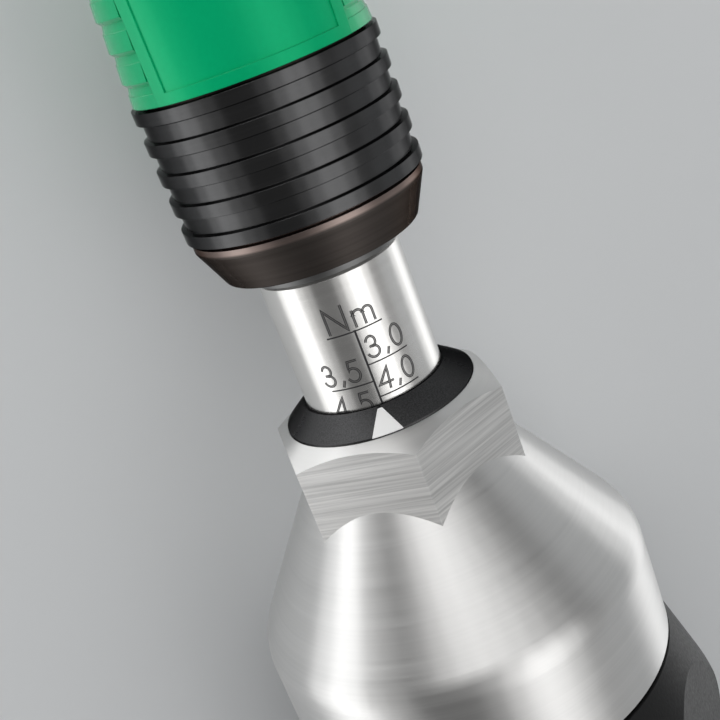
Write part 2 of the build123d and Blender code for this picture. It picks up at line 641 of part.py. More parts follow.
def spindle():
    body = turned(
        (CAM_FRONT, 0), (CAM_FRONT, ROD_R), (WASHER_FRONT, ROD_R),
        (WASHER_FRONT, SHANK_R), (SHANK_END, SHANK_R), (SHANK_END, NOSE_R),
        (NOSE_FRONT - EDGE, NOSE_R), (NOSE_FRONT, NOSE_R - EDGE), (NOSE_FRONT, 0))
    body += flatted(CAM_REAR - FACE, CAM_FRONT, STUD_R, STUD_FLATS)
    body += rod(SPINDLE_REAR, CAM_REAR - FACE, STUD_R - 2 * PRESS)
    body -= tube(NOSE_CLIP_REAR - RUN, NOSE_CLIP_REAR + NOSE_CLIP_THICK + RUN,
                 NOSE_GROOVE_R, NOSE_R + PAST)
    return body - socket() - lock_hole()


def thrust_washer():
    return tube(SLEEVE_FRONT + RUN, WASHER_FRONT, ROD_R + PRESS, THRUST_WASHER_R)


def spindle_washer():
    return tube(WASHER_REAR, CAM_REAR, STUD_R + RUN, WASHER_R)


def spindle_nut():
    nut = hexagon(NUT_REAR, WASHER_REAR, NUT_FLATS)
    corner = NUT_FLATS / math.sqrt(3)
    rounded = turned((NUT_REAR, 0), (NUT_REAR, corner - 2 * EDGE), (NUT_REAR + EDGE, corner),
                     (WASHER_REAR, corner), (WASHER_REAR, 0))
    return (nut & rounded) - rod(NUT_REAR, WASHER_REAR, STUD_R)


def bit_magnet():
    return rod(SOCKET_END - MAGNET_LENGTH, SOCKET_END, MAGNET_R)


def lock_ball():
    return Rot(X=LOCK_ANGLE) * Pos(LOCK_X, 0, LOCK_BALL_SEAT_R) * Sphere(LOCK_BALL_R)


def release_spring():
    return coil(POCKET_FLOOR + RUN, SEAT_REAR - RUN, RELEASE_SPRING_R, RELEASE_WIRE_R,
                RELEASE_TURNS, RELEASE_STEPS, SPRING_SIDES)


def spring_seat():
    return tube(SEAT_REAR, SEAT_REAR + SEAT_THICK, NOSE_R + RUN, SEAT_R)


def nose_clip():
    return split_ring(NOSE_CLIP_REAR, NOSE_CLIP_REAR + NOSE_CLIP_THICK,
                      NOSE_GROOVE_R + PRESS, NOSE_CLIP_R, 2 * NOSE_CLIP_THICK)


# Chuck sleeve

def release_collar():
    body = turned(
        (RELEASE_REAR, NOSE_R + RUN), (RELEASE_REAR, RELEASE_FLANGE_R),
        (RELEASE_REAR + RELEASE_FLANGE, RELEASE_FLANGE_R), (RELEASE_REAR + RELEASE_FLANGE, RELEASE_R),
        (RELEASE_FRONT - EDGE, RELEASE_R), (RELEASE_FRONT, RELEASE_R - EDGE),
        (RELEASE_FRONT, POCKET_R), (POCKET_FLOOR, POCKET_R), (POCKET_FLOOR, RAMP_R),
        (LOCK_X, RAMP_R), (LOCK_X - RAMP_LENGTH, RAMP_TOP_R),
        (LOCK_X - RAMP_LENGTH - EDGE, NOSE_R + RUN))
    groove_rear = SLEEVE_CLIP_FRONT - SLEEVE_CLIP_THICK - RUN
    return body - tube(groove_rear, SLEEVE_CLIP_FRONT + RUN, RELEASE_R - CLIP_GROOVE, RELEASE_R + PAST)


def sleeve_clip():
    return split_ring(SLEEVE_CLIP_FRONT - SLEEVE_CLIP_THICK, SLEEVE_CLIP_FRONT,
                      RELEASE_R - CLIP_GROOVE + PRESS, SLEEVE_CLIP_R, 3 * SLEEVE_CLIP_THICK)


def chuck_sleeve():
    lip_end = CHUCK_REAR + CHUCK_LIP
    bevel_x = CHUCK_REAR + BEVEL_ROUND
    return turned(
        (CHUCK_REAR, CHUCK_LIP_BORE_R), (CHUCK_REAR, CHUCK_SMALL_R - BEVEL_ROUND),
        (bevel_x, CHUCK_SMALL_R), (BEVEL_END, CHUCK_BIG_R), (BAND_END, CHUCK_BIG_R),
        (BAND_END, TUBE_R), (GREEN_REAR, TUBE_R), (GREEN_REAR, FRONT_TUBE_R),
        (GREEN_FRONT - GREEN_ROUND, FRONT_TUBE_R), (GREEN_FRONT - GREEN_ROUND, SLEEVE_CLIP_R + RUN),
        (LAND_FRONT, SLEEVE_CLIP_R + RUN), (LAND_FRONT, RELEASE_R + RUN),
        (LAND_REAR, RELEASE_R + RUN), (LAND_REAR, CAVITY_R), (lip_end, CAVITY_R),
        (lip_end, CHUCK_LIP_BORE_R))


def ribbed_ring():
    floor = RIB_R - RIB_DEPTH
    outline = [(RIBS_START, TUBE_R + PRESS)]
    for rib in range(RIBS):
        start = RIBS_START + rib * RIB_LENGTH
        if rib:
            outline.append((start - RIB_LEAN, floor))
        outline += [(start, RIB_R), (start + RIB_LAND, RIB_R)]
        if rib < RIBS - 1:
            outline.append((start + RIB_LAND + RIB_LEAN, floor))
    outline.append((RIBS_END, TUBE_R + PRESS))
    return turned(*outline)


def side_teeth():
    """What is cut away between and over the grip bars on one side of the green ring."""
    rear = GREEN_REAR + BAR_START - TOOTH_LENGTH
    outline = [(rear, GREEN_R + PAST), (rear, GREEN_R)]
    for tooth in range(BARS + 1):
        edge = rear + BAR_LENGTH
        outline += [(edge, GREEN_R - BAR_FALL), (edge, GREEN_R - BAR_FALL - BAR_STEP),
                    (rear + TOOTH_LENGTH - BAR_RISE, GREEN_R - BAR_DEPTH), (rear + TOOTH_LENGTH, GREEN_R)]
        rear += TOOTH_LENGTH
    outline.append((rear, GREEN_R + PAST))
    upright = Rot(X=90 + BAR_ANGLE) * make_face(Polyline(*outline, close=True))
    return revolve(upright, Axis.X, 180 - 2 * BAR_ANGLE)


def green_ring():
    body = turned(
        (GREEN_REAR, FRONT_TUBE_R + PRESS), (GREEN_REAR, GREEN_R),
        (GREEN_FRONT - GREEN_ROUND, GREEN_R), (GREEN_FRONT, GREEN_R - GREEN_ROUND),
        (GREEN_FRONT, SLEEVE_CLIP_R + FACE), (GREEN_FRONT - GREEN_ROUND, SLEEVE_CLIP_R + FACE),
        (GREEN_FRONT - GREEN_ROUND, FRONT_TUBE_R + PRESS))
    panel = sector(GREEN_REAR + PANEL_MARGIN, GREEN_FRONT - GREEN_ROUND - PANEL_MARGIN,
                   GREEN_R - PANEL_DEPTH, GREEN_R + PAST, -PANEL_ANGLE, PANEL_ANGLE)
    last = GREEN_REAR + BAR_START + (BARS - 1) * TOOTH_LENGTH + BAR_LENGTH
    slit = sector(GREEN_REAR + BAR_START, last, GREEN_R - BAR_DEPTH, GREEN_R + PAST, 0, BAR_SLIT)
    for cut in (panel, side_teeth(), Rot(X=BAR_ANGLE) * slit, Rot(X=180 - BAR_ANGLE - BAR_SLIT) * slit):
        for copy in around(cut, 2):
            body -= copy
    return body


PIECES = {
    "handle_shell": handle_shell,
    "grip_pads": grip_pads,
    "end_cap": end_cap,
    "clutch_housing": clutch_housing,
    "guide_plate": guide_plate,
    "main_spring": main_spring,
    "rear_plug": rear_plug,
    "handle_screw": handle_screw,
    "screw_washer": screw_washer,
    "collar_washer": collar_washer,
    "collar_ring": collar_ring,
    "setting_collar": setting_collar,
    "pointer_ring": pointer_ring,
    "scale_sleeve": scale_sleeve,
    "spindle_bushes": spindle_bushes,
    "pressure_plate": pressure_plate,
    "clutch_balls": clutch_balls,
    "cam_disc": cam_disc,
    "spindle_washer": spindle_washer,
    "spindle_nut": spindle_nut,
    "spindle": spindle,
    "thrust_washer": thrust_washer,
    "bit_magnet": bit_magnet,
    "lock_ball": lock_ball,
    "release_spring": release_spring,
    "spring_seat": spring_seat,
    "nose_clip": nose_clip,
    "release_collar": release_collar,
    "sleeve_clip": sleeve_clip,
    "chuck_sleeve": chuck_sleeve,
    "ribbed_ring": ribbed_ring,
    "green_ring": green_ring,
}

os.makedirs("parts", exist_ok=True)
for name, make in PIECES.items():
    export_step(PLACE * make(), f"parts/{name}.step")
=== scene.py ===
import math

import bmesh
import bpy
from mathutils import Matrix, Vector


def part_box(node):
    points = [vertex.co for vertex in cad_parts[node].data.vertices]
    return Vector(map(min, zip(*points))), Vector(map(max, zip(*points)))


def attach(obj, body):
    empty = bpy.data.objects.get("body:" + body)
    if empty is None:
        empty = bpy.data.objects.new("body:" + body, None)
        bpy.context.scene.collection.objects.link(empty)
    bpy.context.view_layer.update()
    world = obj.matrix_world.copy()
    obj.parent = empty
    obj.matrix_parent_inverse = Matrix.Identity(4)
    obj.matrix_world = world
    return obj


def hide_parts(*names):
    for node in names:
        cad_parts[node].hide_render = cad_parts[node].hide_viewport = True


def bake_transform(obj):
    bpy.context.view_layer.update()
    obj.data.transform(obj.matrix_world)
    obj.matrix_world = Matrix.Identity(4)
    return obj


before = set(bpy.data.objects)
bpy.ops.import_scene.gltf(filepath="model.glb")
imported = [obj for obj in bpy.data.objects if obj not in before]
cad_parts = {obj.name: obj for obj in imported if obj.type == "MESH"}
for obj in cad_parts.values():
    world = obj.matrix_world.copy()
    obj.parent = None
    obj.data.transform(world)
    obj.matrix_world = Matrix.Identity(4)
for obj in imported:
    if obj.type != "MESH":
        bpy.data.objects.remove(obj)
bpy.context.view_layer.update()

# Torque screwdriver. It lies along X with its tip towards +X and its scale facing up. Lengths named
# here are millimetres, and go through MM where a mesh or a lamp is made. Angles about the tool's axis
# are degrees from the top, positive to the right of someone who reads the scale.
MM = 0.001


def node_span(node, axis):
    """Lowest and highest place of a CAD node along one axis, in millimetres."""
    low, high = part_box(node)
    return low[axis] / MM, high[axis] / MM


# Places taken from the frame
EDGE_X = node_span("pointer_ring", 0)[1]          # pointer ring's front edge
AXIS_Z = sum(node_span("scale_sleeve", 2)) / 2
SLEEVE_R = (node_span("scale_sleeve", 1)[1] - node_span("scale_sleeve", 1)[0]) / 2


def new_object(name, data):
    """An object of the data, in the scene."""
    thing = bpy.data.objects.new(name, data)
    bpy.context.scene.collection.objects.link(thing)
    return thing


def on_tool(x, radius, angle):
    """A point beside the pointer edge: x towards the tip, radius and angle about the axis."""
    turn = math.radians(angle)
    return Vector((EDGE_X + x, -radius * math.sin(turn), AXIS_Z + radius * math.cos(turn))) * MM


# Camera, fitted to the photograph
CAMERA_TILT = 20.78           # degrees from straight down, leaning towards the tip
CAMERA_ROLL = 21.12
CAMERA_REACH = 104.5          # to the pointer edge, along the view
EDGE_PIXEL = (372.9, 376.7)   # where the axis passes the pointer edge
FRAME_PIXELS = 720
FOCAL_PIXELS = 1189.8
SENSOR = 36.0
CLIP_START, CLIP_END = 1.0, 10000.0


def add_camera():
    """The photograph's own view."""
    tilt, roll = math.radians(CAMERA_TILT), math.radians(CAMERA_ROLL)
    forward = Vector((-math.sin(tilt), 0, -math.cos(tilt)))
    towards_tip = Vector((math.cos(tilt), 0, -math.sin(tilt)))
    right = math.cos(roll) * Vector((0, -1, 0)) - math.sin(roll) * towards_tip
    up = right.cross(forward)
    offset = [(pixel - FRAME_PIXELS / 2) / FOCAL_PIXELS * CAMERA_REACH for pixel in EDGE_PIXEL]
    place = on_tool(0, 0, 0) - (forward * CAMERA_REACH + right * offset[0] - up * offset[1]) * MM
    data = bpy.data.cameras.new("camera")
    data.sensor_width = SENSOR
    data.lens = FOCAL_PIXELS / FRAME_PIXELS * SENSOR
    data.clip_start, data.clip_end = CLIP_START * MM, CLIP_END * MM
    camera = new_object("camera", data)
    turned = Matrix((right, up, -forward)).transposed().to_4x4()
    camera.matrix_world = Matrix.Translation(place) @ turned
    bpy.context.scene.camera = camera


# Studio: strips of soft light round the tool
FLOOR_COLOUR = (0.70, 0.715, 0.725)
FLOOR_ROUGHNESS = 0.8
FLOOR_SIZE = 6000.0
FAR_COLOUR = (0.475, 0.485, 0.492)      # of the floor and the backdrop, far from the tool
FAR_START, FAR_END = 90.0, 420.0        # where the floor goes over into it
LAMP_REACH = 420.0            # from the tool's axis
SKY_HIGH = 0.16               # overhead light
SKY_FADE = (0.12, 0.42)       # where it takes over from the backdrop, as sines of a direction's height
# A row of strips: how far it leans towards the tip, its width along the tool and the step from one
# strip's middle to the next, all in degrees, and each strip's radiance by its angle about the axis
STRIPS = (
    (-14, 62, 12, {-96: 0.70, -84: 1.40, -72: 1.30, -60: 0.60, -48: 0.30, 0: 0.25, 12: 0.90, 24: 1.55,
                   36: 1.45, 48: 0.80, 60: 0.20, 72: 0.10, 108: 0.45, 120: 0.95, 132: 0.65, 144: 0.10}),
    (40, 40, 24, {-132: 1.10, -108: 0.40, -84: 1.75, -60: 0.20}),
    (40, 40, 12, {-36: 0.25, -24: 0.90, -12: 1.45, 0: 1.55, 12: 1.25, 24: 0.85, 36: 0.45, 48: 0.15}),
    (74, 28, 50, {-140: 0.30, -90: 1.70, -50: 1.50, 0: 0.40, 50: 0.15}),
    (-72, 24, 36, {44: 2.00}),
)


def add_strip(tilt, wide, step, turn, radiance, passing):
    """A rectangular lamp that faces the tool, and whose light passes through what passing excludes."""
    lean = math.radians(tilt)
    along = 2 * LAMP_REACH * math.tan(math.radians(wide / 2))
    across = LAMP_REACH * math.cos(lean) * math.radians(step)
    data = bpy.data.lights.new("strip", "AREA")
    data.shape = "RECTANGLE"
    data.size, data.size_y = along * MM, across * MM
    data.energy = radiance * math.pi * data.size * data.size_y
    lamp = new_object("strip", data)
    lamp.location = on_tool(LAMP_REACH * math.sin(lean), LAMP_REACH * math.cos(lean), turn)
    away = (lamp.location - on_tool(0, 0, 0)).normalized()
    along_x = (Vector((1, 0, 0)) - away * away.x).normalized()
    lamp.rotation_euler = Matrix((along_x, away.cross(along_x), away)).transposed().to_euler()
    lamp.visible_camera = False
    lamp.light_linking.blocker_collection = passing


def add_floor():
    """A floor that is lit near the tool, and goes over into a plain pale distance for camera, glossy
    and transmission rays."""
    mesh = bpy.data.meshes.new("floor")
    half = FLOOR_SIZE / 2 * MM
    corners = [(-half, -half, 0), (half, -half, 0), (half, half, 0), (-half, half, 0)]
    mesh.from_pydata(corners, [], [(0, 1, 2, 3)])
    floor = new_object("floor", mesh)
    paint = Shader("floor", Roughness=FLOOR_ROUGHNESS)
    paint.set("Base Color", FLOOR_COLOUR)
    distance = paint.add("VectorMath", {0: paint.place()}, operation="LENGTH").outputs["Value"]
    far = paint.band(distance, FAR_START * MM, FAR_END * MM, 0, 1)
    rays = paint.add("LightPath").outputs
    seen = paint.maths("ADD", rays["Is Camera Ray"], rays["Is Glossy Ray"])
    seen = paint.maths("ADD", seen, rays["Is Transmission Ray"], clamp=True)
    glow = paint.add("Emission", {"Color": FAR_COLOUR, "Strength": 1.0})
    mix = paint.add("MixShader", {0: paint.maths("MULTIPLY", far, seen), 1: paint.surface.outputs[0],
                                  2: glow.outputs[0]})
    paint.feed(paint.nodes["Material Output"].inputs["Surface"], mix.outputs[0])
    mesh.materials.append(paint.material)
    return floor


def add_studio():
    """The floor, the strips, some of which are under the floor and shine through it, and the sky."""
    passing = bpy.data.collections.new("passing")
    passing.objects.link(add_floor())
    passing.collection_objects[0].light_linking.link_state = "EXCLUDE"
    for tilt, wide, step, strips in STRIPS:
        for turn, radiance in strips.items():
            add_strip(tilt, wide, step, turn, radiance, passing)
    world = bpy.data.worlds.new("studio")
    bpy.context.scene.world = world
    world.use_nodes = True
    nodes, links = world.node_tree.nodes, world.node_tree.links
    height = nodes.new("ShaderNodeSeparateXYZ")
    links.new(nodes.new("ShaderNodeTexCoord").outputs["Generated"], height.inputs[0])
    fade = nodes.new("ShaderNodeMapRange")
    fade.inputs["From Min"].default_value, fade.inputs["From Max"].default_value = SKY_FADE
    links.new(height.outputs["Z"], fade.inputs["Value"])
    sky = nodes.new("ShaderNodeMix")
    sky.data_type = "RGBA"
    links.new(fade.outputs[0], sky.inputs["Factor"])
    sky.inputs["A"].default_value = (*FAR_COLOUR, 1)
    sky.inputs["B"].default_value = (SKY_HIGH, SKY_HIGH, SKY_HIGH, 1)
    links.new(sky.outputs["Result"], nodes["Background"].inputs["Color"])


# Materials

class Shader:
    """A node material, with one short call for each kind of node that is used here."""

    def __init__(self, name, **values):
        self.material = bpy.data.materials.new(name)
        self.material.use_nodes = True
        self.nodes = self.material.node_tree.nodes
        self.surface = self.nodes["Principled BSDF"]
        self.shade = None     # on a turned metal, what darkens and lightens its lines
        for socket, value in values.items():
            self.set(socket.replace("_", " "), value)

    def feed(self, socket, value):
        """Puts a number, a colour or another node's output into a socket."""
        if isinstance(value, bpy.types.NodeSocket):
            self.material.node_tree.links.new(value, socket)
        elif isinstance(value, tuple) and len(value) == 3 and socket.type == "RGBA":
            socket.default_value = (*value, 1)
        else:
            socket.default_value = value

    def set(self, name, value):
        """Gives the surface's own socket a value or another node's output."""
        self.feed(self.surface.inputs[name], value)

    def add(self, kind, inputs=(), **settings):
        """A new node, with the inputs and settings that are given."""
        node = self.nodes.new("ShaderNode" + kind)
        for key, value in settings.items():
            setattr(node, key, value)
        for key, value in dict(inputs).items():
            self.feed(node.inputs[key], value)
        return node

    def place(self):
        """The point's place in the row frame, in metres."""
        return self.add("TexCoord").outputs["Object"]

    def along(self):
        """The same place's X alone."""
        return self.add("SeparateXYZ", {0: self.place()}).outputs[0]

    def maths(self, operation, first, second=0.0, clamp=False):
        """One number made from two."""
        node = self.add("Math", {0: first, 1: second}, operation=operation, use_clamp=clamp)
        return node.outputs[0]

    def noise(self, per_mm, detail=2.0, stretch=(1, 1, 1)):
        """Noise with so many cells in a millimetre; stretch gives shares of that along X, Y and Z."""
        scaled = self.add("VectorMath", {0: self.place(), 1: tuple(per_mm / MM * s for s in stretch)},
                          operation="MULTIPLY")
        node = self.add("TexNoise", {"Vector": scaled.outputs[0], "Scale": 1.0, "Detail": detail})
        return node.outputs["Fac"]

    def band(self, value, low, high, to_low, to_high):
        """A value run from one range into another, and held at its ends."""
        node = self.add("MapRange", {"Value": value, "From Min": low, "From Max": high,
                                     "To Min": to_low, "To Max": to_high})
        return node.outputs[0]

    def blend(self, share, first, second):
        """A colour between two."""
        node = self.add("Mix", data_type="RGBA")
        self.feed(node.inputs["Factor"], share)
        self.feed(node.inputs["A"], first)
        self.feed(node.inputs["B"], second)
        return node.outputs["Result"]

    def tint(self, colour, shade):
        """A colour made lighter or darker by a factor."""
        node = self.add("VectorMath", {0: colour, "Scale": shade}, operation="SCALE")
        return node.outputs[0]

    def relief(self, *layers, edge=0.0):
        """Bump layers of (height, depth in millimetres), one on another, over edges rounded by edge."""
        normal = None
        if edge:
            normal = self.add("Bevel", {"Radius": edge * MM}, samples=4).outputs[0]
        for height, depth in layers:
            bump = self.add("Bump", {"Height": height, "Distance": depth * MM, "Strength": 1.0})
            if normal is not None:
                self.feed(bump.inputs["Normal"], normal)
            normal = bump.outputs[0]
        self.set("Normal", normal)


TURNED = (1, 0.012, 0.012)    # noise drawn out round the axis, as turning leaves it
BRUSHED = (1, 0.02, 0.02)     # and a little less, as brushing leaves it
TOOLED = (1, 0.2, 0.2)        # and least, as a milling cutter leaves it
NOISE_ENDS = (0.1, 0.9)       # range of a noise that is used for colour
NOISE_CORE = (0.3, 0.7)       # range that most of its values are in, used for roughness
SPECKLE_CORE = (0.35, 0.65)
FINE_LINES = 4.5              # turning lines in a millimetre, each kind in equal shares
BROAD_LINES = 1.4
TOOL_MARKS = 4                # in a millimetre
TOOL_MARK_DEPTH = 0.004
MACHINED_EDGE = 0.06          # rounding of a machined metal's edges
QUARTER_TURN = 0.25           # sets highlights along the tool
LINE_POLISH = (0.91, 1.12)    # share of a turned metal's roughness, from line to line
MARK_POLISH = (0.86, 1.20)    # of a machined metal's
GRAIN_POLISH = (0.90, 1.15)   # of a moulding's
MARK_SHADE = 0.85             # the darkest tool mark, as a share of a machined metal's colour
CLOUD_SHADE = (0.92, 1.1)     # the darkest and palest cloud on a moulding, as shares of its colour
CLOUDS = 0.12                 # clouds in a millimetre
PLASTIC_IOR = 1.49


def around(value, shares):
    """A value's two ends of a range, from their shares of it."""
    return [share * value for share in shares]


def turned_metal(name, colour, roughness, anisotropy, line_depth, contrast=0.12, edge=0.05):
    """Metal with fine lines round the tool's axis, whose highlights run along the axis."""
    shader = Shader(name, Metallic=1.0, Anisotropic=anisotropy, Anisotropic_Rotation=QUARTER_TURN)
    fine = shader.noise(FINE_LINES, 1.0, TURNED)
    broad = shader.noise(BROAD_LINES, 1.0, TURNED)
    lines = shader.maths("ADD", shader.maths("MULTIPLY", fine, 0.5), shader.maths("MULTIPLY", broad, 0.5))
    shader.shade = shader.band(lines, *NOISE_ENDS, 1 - contrast, 1 + contrast)
    shader.set("Base Color", shader.tint(colour, shader.shade))
    shader.set("Roughness", shader.band(lines, *NOISE_CORE, *around(roughness, LINE_POLISH)))
    shader.set("Tangent", shader.add("Tangent", direction_type="RADIAL", axis="X").outputs[0])
    shader.relief((lines, line_depth), edge=edge)
    return shader


def plain_metal(name, colour, roughness):
    """Machined metal with faint tool marks."""
    shader = Shader(name, Metallic=1.0)
    marks = shader.noise(TOOL_MARKS, 3.0, TOOLED)
    shader.set("Base Color", shader.blend(marks, tuple(MARK_SHADE * c for c in colour), colour))
    shader.set("Roughness", shader.band(marks, *NOISE_CORE, *around(roughness, MARK_POLISH)))
    shader.relief((marks, TOOL_MARK_DEPTH), edge=MACHINED_EDGE)
    return shader


def moulded(name, colour, roughness, grain, depth, edge=0.12, speckle=0.02):
    """Moulded plastic, paint or rubber with a fine grain."""
    shader = Shader(name, IOR=PLASTIC_IOR)
    fine = shader.noise(grain, 3.0)
    dark, pale = (tuple(share * c for c in colour) for share in CLOUD_SHADE)
    paint = shader.blend(shader.noise(CLOUDS), dark, pale)
    speckles = shader.band(fine, *SPECKLE_CORE, 1 - speckle, 1 + speckle)
    shader.set("Base Color", shader.tint(paint, speckles))
    shader.set("Roughness", shader.band(fine, *NOISE_CORE, *around(roughness, GRAIN_POLISH)))
    shader.relief((fine, depth), edge=edge)
    return shader


HEX_REAR = -11.0              # behind the hexagon's corners, from the pointer edge
HEX_FADE = 0.2                # over which the brushing sets in there
FLAT_FACING = (0.03, 0.12)    # how far a normal leans along the tool: on a flat, and off it
FLAT_ROUGHNESS = 0.52
FLAT_GROOVES_AND_HIGHLIGHT = (0.96, 1.42)     # shares of the colour, from groove to groove, mostly above one: brushing lines and a painted highlight on the flats
BAND = (3.50, 4.05)           # start and end of the narrow band with the painted highlight, from the dark ring's rear
BAND_RISE = (-0.12, 0.08)     # from its start
BAND_FALL = (0.0, 0.02)       # from its end


def brush_flats(shader, colour):
    """Straighter and plainer brushing on the hexagon's flats, which face square to the axis, and a
    painted highlight on them.
    """
    facing = shader.add("SeparateXYZ", {0: shader.add("NewGeometry").outputs["Normal"]}).outputs[0]
    square = shader.band(shader.maths("ABSOLUTE", facing), *FLAT_FACING, 1, 0)
    edge = (EDGE_X + HEX_REAR) * MM
    before = shader.band(shader.along(), edge, edge + HEX_FADE * MM, 0, 1)
    flats = shader.maths("MULTIPLY", square, before)
    # brushing lines, in a colour mostly paler than the turned metal's: a painted highlight on the flats
    grooves_and_highlight = shader.band(shader.noise(FINE_LINES, 4.0, BRUSHED), *NOISE_CORE, *FLAT_GROOVES_AND_HIGHLIGHT)
    shade = shader.add("Mix", data_type="FLOAT")
    for socket, value in (("Factor", flats), ("A", shader.shade), ("B", grooves_and_highlight)):
        shader.feed(shade.inputs[socket], value)
    shader.set("Base Color", shader.tint(colour, shade.outputs[0]))
    rough = shader.add("Mix", data_type="FLOAT")
    turned = shader.surface.inputs["Roughness"].links[0].from_socket
    for socket, value in (("Factor", flats), ("A", turned), ("B", FLAT_ROUGHNESS)):
        shader.feed(rough.inputs[socket], value)
    shader.set("Roughness", rough.outputs[0])


def paint_band_highlight(shader, colour, roughness):
    """A painted highlight on the narrow band between the dark ring's bevel and the ribs: a paler colour,
    and less roughness.
    """
    start, end = (node_span("chuck_sleeve", 0)[0] + x for x in BAND)
    along = shader.along()
    rising = shader.band(along, *((start + x) * MM for x in BAND_RISE), 0, 1)
    falling = shader.band(along, *((end + x) * MM for x in BAND_FALL), 1, 0)
    share = shader.maths("MULTIPLY", rising, falling)
    turned = shader.surface.inputs["Base Color"].links[0].from_socket
    shader.set("Base Color", shader.blend(share, turned, shader.tint(colour, shader.shade)))
    shader.set("Roughness", shader.band(share, 0, 1, *roughness))


def node_materials():
    """The material of each CAD node, by node name."""
    silver = (0.66, 0.655, 0.645)
    metal = turned_metal("collar_metal", silver, roughness=0.325, anisotropy=0.75, line_depth=0.0006,
                         contrast=0.0864)
    brush_flats(metal, silver)
    sleeve = turned_metal("scale_metal", (0.78, 0.77, 0.75), roughness=0.24, anisotropy=0.6,
                          line_depth=0.0003, contrast=0.048)
    washer = turned_metal("washer_steel", (0.20, 0.20, 0.198), roughness=0.45, anisotropy=0.5,
                          line_depth=0.0006)
    dark = turned_metal("dark_steel", (0.080, 0.069, 0.063), roughness=0.46, anisotropy=0.5,
                        line_depth=0.0012, contrast=0.288)
    # a paler colour on the narrow band paints its highlight
    paint_band_highlight(dark, (0.26, 0.205, 0.185), roughness=(0.46, 0.30))
    ribs = turned_metal("ribbed_black", (0.080, 0.080, 0.081), roughness=0.215, anisotropy=0.5,
                        line_depth=0.0004)
    steel = plain_metal("steel", (0.50, 0.50, 0.49), 0.35)
    spring = plain_metal("spring_steel", (0.32, 0.32, 0.33), 0.35)
    bronze = plain_metal("bronze", (0.62, 0.42, 0.20), 0.35)
    pointer = moulded("pointer_black", (0.062, 0.062, 0.063), roughness=0.38, grain=9, depth=0.004,
                      edge=0.05, speckle=0.24)
    pointer.set("Metallic", 1.0)
    handle = moulded("handle_plastic", (0.004, 0.004, 0.0043), roughness=0.46, grain=3.5, depth=0.012)
    handle.set("Specular IOR Level", 0.25)
    rubber = moulded("grip_rubber", (0.028, 0.028, 0.029), roughness=0.72, grain=2.6, depth=0.03)
    green = moulded("green_plastic", (0.0012, 0.41, 0.162), roughness=0.20, grain=2.5, depth=0.0003,
                    edge=0.08)
    green.set("Specular IOR Level", 0.85)
    green.set("Specular Tint", (0.10, 1, 0.45))
    for dull, tint_at_edge in ((ribs, 0.37), (dark, 0.20), (pointer, 0.10)):
        dull.set("Specular Tint", (tint_at_edge, tint_at_edge, tint_at_edge))
    groups = {
        metal: ["setting_collar"],
        sleeve: ["scale_sleeve"],
        washer: ["thrust_washer"],
        dark: ["chuck_sleeve", "handle_screw"],
        ribs: ["ribbed_ring"],
        steel: ["clutch_housing", "guide_plate", "rear_plug", "screw_washer", "pressure_plate",
                "clutch_balls", "cam_disc", "spindle_washer", "spindle_nut", "spindle",
                "lock_ball", "spring_seat", "release_collar", "bit_magnet"],
        spring: ["main_spring", "release_spring", "collar_ring", "nose_clip", "sleeve_clip"],
        bronze: ["collar_washer", "spindle_bushes"],
        pointer: ["pointer_ring"],
        handle: ["handle_shell", "end_cap"],
        rubber: ["grip_pads"],
        green: ["green_ring"],
    }
    return {node: shader.material for shader, nodes in groups.items() for node in nodes}


def dress_nodes(materials):
    """Gives each CAD node its one material."""
    for name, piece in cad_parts.items():
        piece.data.materials.clear()
        piece.data.materials.append(materials[name])


# Scale on the sleeve: x is towards the tip from the pointer edge, and across runs to the right
# round the sleeve
STROKE = 0.22
STROKE_CORE = 0.32            # share of a stroke's width that is its paler floor
CORE_LIFT = 0.004             # that floor above the sleeve
RULE = 0.12                   # width of the straight lines
MIDRULE = 0.18                # and of the one along the tool
LIFT = 0.010                  # paint above the sleeve
SINK = 0.030                  # and below its surface
MITRE_LIMIT = 0.45            # least cosine of half a stroke's bend that its corner is widened for
DIGIT_TALL = 1.86
DIGIT_WIDE = 1.10
SPACING = 1.5                 # between one line and the next, half a newton metre on
FIRST_LINE = 3.60             # place of the line for 3,0
FIRST_VALUE = 3.0
LAST_VALUE = 6.0
VALUE_STEP = 0.5
RISE = 0.45                   # from a line to its numbers
DIGIT_ADVANCE = 1.54          # from one digit's left side to the next sign
COMMA_ADVANCE = 0.72
UNIT_LINE = 6.76              # place of the line under the unit
UNIT_LINE_ENDS = (-2.45, 2.34)
UNIT_RISE = 0.33              # from that line to its letters
CAPITAL_TALL = 2.12
CAPITAL_SIDES = (-2.09, -0.52)
LOW_TALL = 1.32               # height of the small letter
STEMS = (0.20, 1.06, 1.88)    # places of its three stems
MIDLINE = -0.08               # the line along the tool
MIDLINE_GAP = 0.1             # from the left lines' ends to it
RIGHT_START, RIGHT_END = 0.30, 3.68       # where numbers start and lines end, to the right of it
LEFT_START, LEFT_END = -4.20, -3.80       # and to the left


def arc(centre, radius, start, end, steps=10):
    """Points on a circle or, with two radii, an ellipse; degrees from the right, anticlockwise."""
    wide, tall = radius if isinstance(radius, tuple) else (radius, radius)
    angles = [math.radians(start + (end - start) * n / steps) for n in range(steps + 1)]
    return [(centre[0] + wide * math.cos(a), centre[1] + tall * math.sin(a)) for a in angles]


